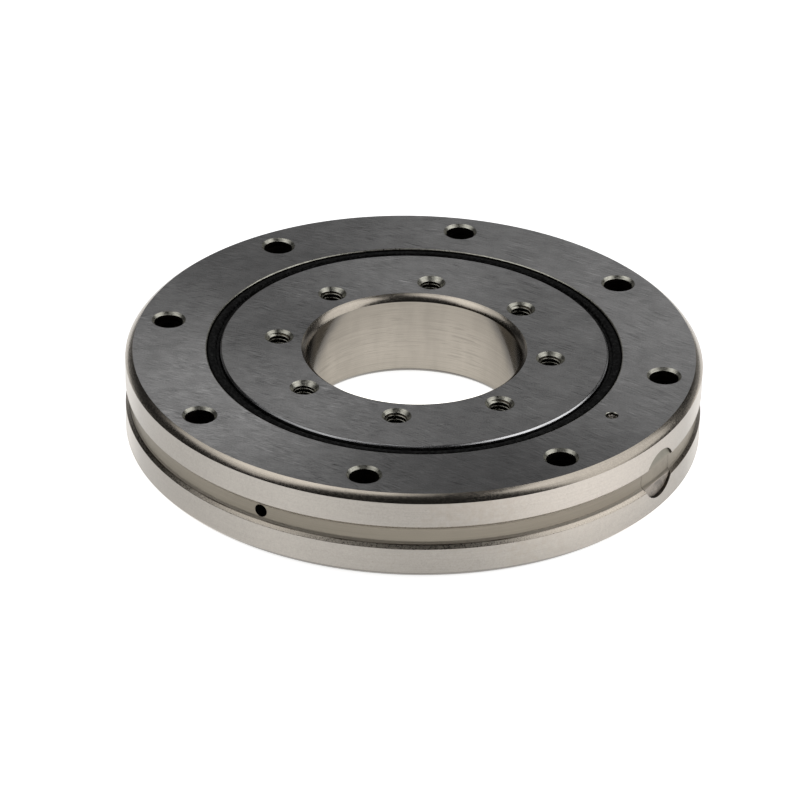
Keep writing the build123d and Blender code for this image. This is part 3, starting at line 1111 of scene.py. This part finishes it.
class BEARING_OT_plug(bpy.types.Operator):
    """Models the insertion plug, with the groove and the raceway across its ends"""

    bl_idname = "bearing.plug"
    bl_label = "Insertion plug"

    def execute(self, context):
        settings = context.scene.bearing
        ring = settings.ring
        piece = new_object("plug_body", turn(outline(outer_outline(ring)), ring.steps))
        carve(piece, radial_rod(PLUG_ANGLE, PLUG_RADIUS, PLUG_END, steps=128, lead=0.08 * MM), "INTERSECT")
        carve(piece, pin_hole_tool(ring))
        smooth(piece)
        materials = {"end": plug_steel(settings), "raceway": existing(raceway_steel, settings)}
        finish_by_region(
            piece, materials,
            lambda centre, normal: "end" if centre.dot(PLUG_WAY) > PITCH + 5 * MM else "raceway")
        stands_for(piece, "insertion_plug", "outer_ring")
        return {"FINISHED"}


class BEARING_OT_pin(bpy.types.Operator):
    """Models the taper pin, with its upset, uneven end"""

    bl_idname = "bearing.pin"
    bl_label = "Taper pin"

    def execute(self, context):
        settings = context.scene.bearing
        lead = 0.2 * MM
        flat = PIN_RADIUS - lead
        bm = turned_tool([
            (0, PIN_LOW.z),
            (pin_foot(settings.ring), PIN_LOW.z),
            (PIN_RADIUS, PIN_HIGH.z - lead),
            *[(flat * (1 - k / 5), PIN_HIGH.z) for k in range(6)],
        ], steps=40)
        for vert in bm.verts:
            inwards = 1 - vert.co.xy.length / flat
            if vert.co.z > PIN_HIGH.z - 0.01 * MM and inwards > 0.05:
                wave = math.sin(vert.co.x * 5200) * math.cos(vert.co.y * 4300 + 1.3)
                vert.co.z -= (0.12 + 0.1 * wave) * MM * min(1, inwards * 2.5)
        moved(bm, Matrix.Translation((PIN_CENTRE.x, PIN_CENTRE.y, 0)))
        bmesh.ops.recalc_face_normals(bm, faces=bm.faces[:])
        piece = new_object("pin_body", bm)
        smooth(piece, math.radians(30))
        piece.data.materials.append(pin_steel(settings))
        stands_for(piece, "taper_pin", "outer_ring")
        return {"FINISHED"}


class BEARING_OT_seals(bpy.types.Operator):
    """Models the two rubber seals"""

    bl_idname = "bearing.seals"
    bl_label = "Seals"

    def execute(self, context):
        settings = context.scene.bearing
        seal, ring = settings.seal, settings.ring
        band = SEAL_HEEL - seal.band
        lip_top = SEAL_TOP - seal.band_step
        ease = seal.edge_round
        section = [
            (SEAL_HEEL, SEAL_FLOOR, 0),
            (SEAL_HEEL, SEAL_TOP, ease),
            (band, SEAL_TOP, ease * 0.8),
            (band - 0.12 * MM, lip_top, ease * 0.2),
            (SEAL_TIP, lip_top, ease * 0.5),
            (SEAL_TIP, lip_top - seal.lip, 0.05 * MM),
            (SEAL_HEEL - seal.heel, SEAL_FLOOR, 0),
        ]
        rubber = seal_rubber(settings)
        turn_over = Matrix.Translation((0, 0, WIDTH)) @ Matrix.Rotation(math.pi, 4, "X")
        for node, place in (("upper_seal", Matrix()), ("lower_seal", turn_over)):
            piece = new_object(node + "_ring", moved(turn(outline(section), ring.steps), place))
            smooth(piece, math.radians(35))
            piece.data.materials.append(rubber)
            stands_for(piece, node, "outer_ring")
        return {"FINISHED"}


class BEARING_OT_rolling_parts(bpy.types.Operator):
    """Gives the rollers and the spacers their finishes"""

    bl_idname = "bearing.rolling_parts"
    bl_label = "Rollers and spacers"

    def execute(self, context):
        settings = context.scene.bearing
        lapped, plastic = roller_finish(settings), spacer_plastic(settings)
        for name, node in frame["nodes"].items():
            if name.startswith("roller_") or name == "spacers":
                node.data.materials.clear()
                node.data.materials.append(plastic if name == "spacers" else lapped)
        return {"FINISHED"}


# Stage


def soft_light(name, azimuth, elevation, distance, width, height, brightness):
    """A softbox that faces the bearing from a direction, in degrees, and isn't seen itself."""
    light = bpy.data.lights.new(name, "AREA")
    light.shape = "RECTANGLE"
    light.size = width
    light.size_y = height
    light.energy = brightness * math.pi * width * height
    lamp = bpy.data.objects.new(name, light)
    a, e = math.radians(azimuth), math.radians(elevation)
    way = Vector((math.cos(e) * math.cos(a), math.cos(e) * math.sin(a), math.sin(e)))
    lamp.location = way * distance
    lamp.rotation_euler = way.to_track_quat("Z", "Y").to_euler()
    lamp.visible_camera = False
    bpy.context.scene.collection.objects.link(lamp)


class BEARING_OT_stage(bpy.types.Operator):
    """Sets the camera, the white floor and the soft lights"""

    bl_idname = "bearing.stage"
    bl_label = "Stage"

    def execute(self, context):
        stage = context.scene.bearing.stage
        scene = context.scene
        scene.view_settings.view_transform = "Standard"
        self.camera(scene, stage)
        self.floor(stage)
        world = bpy.data.worlds.new("studio_room")
        world.use_nodes = True
        background = world.node_tree.nodes["Background"]
        background.inputs["Color"].default_value = (0.97, 0.98, 1.0, 1.0)
        background.inputs["Strength"].default_value = stage.surround
        scene.world = world
        soft_light("left_softbox", -179, 62, 0.9, 0.79, 0.84, 1.09)
        soft_light("left_softbox_middle", -169, 61.5, 0.88, 0.38, 0.41, 0.73)
        soft_light("right_softbox", -1, 42, 0.9, 0.80, 0.80, 1.43)
        soft_light("right_softbox_top", -10, 54, 0.88, 0.30, 0.32, 0.21)
        soft_light("top_softbox", -95, 79, 0.9, 0.21, 0.25, 0.79)
        soft_light("back_panel", 90, 30, 1.2, 1.5, 0.6, 0.42)
        soft_light("back_right_strip", 48, 8, 0.9, 0.52, 0.16, 0.28)
        soft_light("back_left_strip", 126, 8, 0.9, 0.50, 0.16, 0.14)
        return {"FINISHED"}

    def camera(self, scene, stage):
        """The camera stands as it did for the photograph."""
        data = bpy.data.cameras.new("camera")
        data.sensor_width = 36.0
        data.lens = stage.lens
        camera = bpy.data.objects.new("camera", data)
        tilt = Matrix.Rotation(math.pi / 2 - stage.elevation, 4, "X")
        roll = Matrix.Rotation(stage.roll, 4, "Z")
        back = Matrix.Translation((-stage.aim_right, -stage.aim_up, stage.distance))
        camera.matrix_world = Matrix.Translation((0, 0, WIDTH)) @ tilt @ roll @ back
        scene.collection.objects.link(camera)
        scene.camera = camera

    def floor(self, stage):
        """The wide white table under the bearing."""
        bm = bmesh.new()
        bmesh.ops.create_grid(bm, x_segments=2, y_segments=2, size=6.0)
        bmesh.ops.translate(bm, verts=bm.verts[:], vec=(0, 0, -0.02 * MM))
        floor = new_object("table_top", bm)
        floor.data.materials.append(lit_table(stage))


class BEARING_PT_panel(bpy.types.Panel):
    """Lists the bearing's steps in the 3D view's sidebar"""

    bl_label = "Crossed roller bearing"
    bl_idname = "BEARING_PT_panel"
    bl_space_type = "VIEW_3D"
    bl_region_type = "UI"
    bl_category = "Bearing"

    def draw(self, context):
        for operator in OPERATORS:
            self.layout.operator(operator.bl_idname)
        for part in BearingSettings.__annotations__:
            group = getattr(context.scene.bearing, part)
            box = self.layout.box()
            box.label(text=part.replace("_", " ").capitalize())
            for name in group.__annotations__:
                box.prop(group, name)


OPERATORS = (
    BEARING_OT_stage,
    BEARING_OT_outer_ring,
    BEARING_OT_inner_ring,
    BEARING_OT_plug,
    BEARING_OT_pin,
    BEARING_OT_seals,
    BEARING_OT_rolling_parts,
)
GROUPS = (RingSizes, ThreadSizes, SealSizes, FinishColours, PaintedSheen, StageSettings, BearingSettings)


def register():
    for each in (*GROUPS, *OPERATORS, BEARING_PT_panel):
        bpy.utils.register_class(each)
    bpy.types.Scene.bearing = bpy.props.PointerProperty(type=BearingSettings)
    settings = bpy.context.scene.bearing
    # Painted sheen of the faces and the wall: which sheen, its level, then the wide and the narrow fans'
    # strength, count and angle.
    sheens = (
        (settings.outer_sheen, 1.03, (0.42, 2, math.radians(25)), (0.17, 3, math.radians(-26.5))),
        (settings.inner_sheen, 0.95, (0.16, 2, math.radians(62)), (0.12, 3, math.radians(-20))),
        (settings.wall_sheen, 1.06, (0.05, 3, math.radians(-35)), (0.12, 6, math.radians(-55.5))),
    )
    for sheen, level, wide, narrow in sheens:
        sheen.level = level
        sheen.wide, sheen.wide_count, sheen.wide_at = wide
        sheen.narrow, sheen.narrow_count, sheen.narrow_at = narrow


def unregister():
    del bpy.types.Scene.bearing
    for each in (BEARING_PT_panel, *reversed(OPERATORS), *reversed(GROUPS)):
        bpy.utils.unregister_class(each)


def main():
    """Builds the whole scene."""
    register()
    for operator in OPERATORS:
        group, name = operator.bl_idname.split(".")
        getattr(getattr(bpy.ops, group), name)()


if __name__ == "__main__":
    main()
